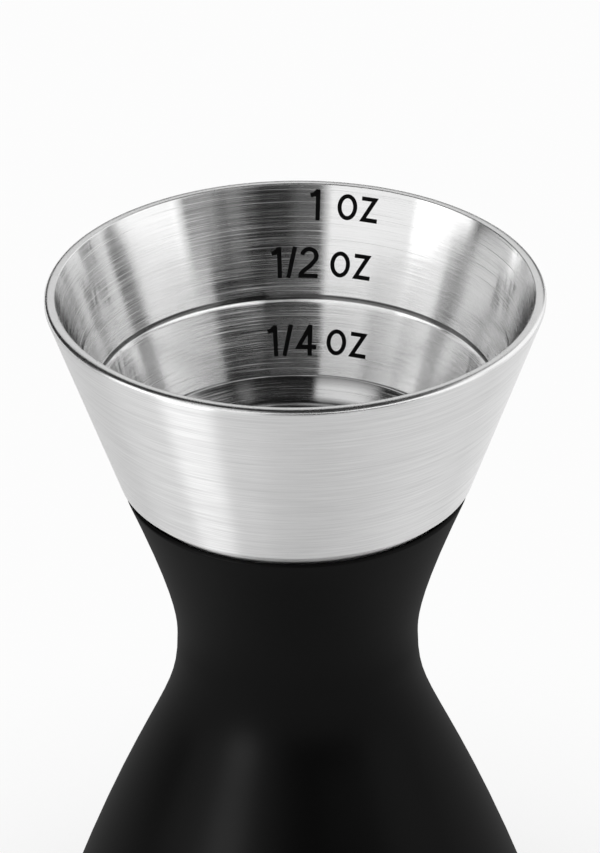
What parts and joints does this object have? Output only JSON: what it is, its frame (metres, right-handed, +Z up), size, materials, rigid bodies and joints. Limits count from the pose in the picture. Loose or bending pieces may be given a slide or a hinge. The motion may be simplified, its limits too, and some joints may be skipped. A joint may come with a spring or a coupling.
{
  "type": "bar jigger",
  "caption": "Double-ended bar measure: a brushed steel cup at each end of a waisted, soft black grip, for pouring spirits by the ounce.",
  "frame": {"origin": "middle of the lower cup's rim, on the surface that the jigger stands on", "axes": "+Z up the jigger's axis to the smaller cup; -Y faces the front, and the marks lie inside the back of each cup"},
  "size_m": [0.0558, 0.0558, 0.082],
  "materials": {
    "brushed_stainless": "brushed round the axis",
    "fitting_stainless": "plain turned",
    "soft_grip": "matte, fine grain",
    "hub_plastic": "moulded, satin",
    "seal_silicone": "matte"
  },
  "bodies": {
    "root": {"upper_cup": "brushed_stainless", "lower_cup": "brushed_stainless", "grip_sleeve": "soft_grip", "waist_hub": "hub_plastic", "upper_cup_stud": "fitting_stainless", "lower_cup_boss": "fitting_stainless", "upper_seal": "seal_silicone", "lower_seal": "seal_silicone"}
  },
  "joints": []
}
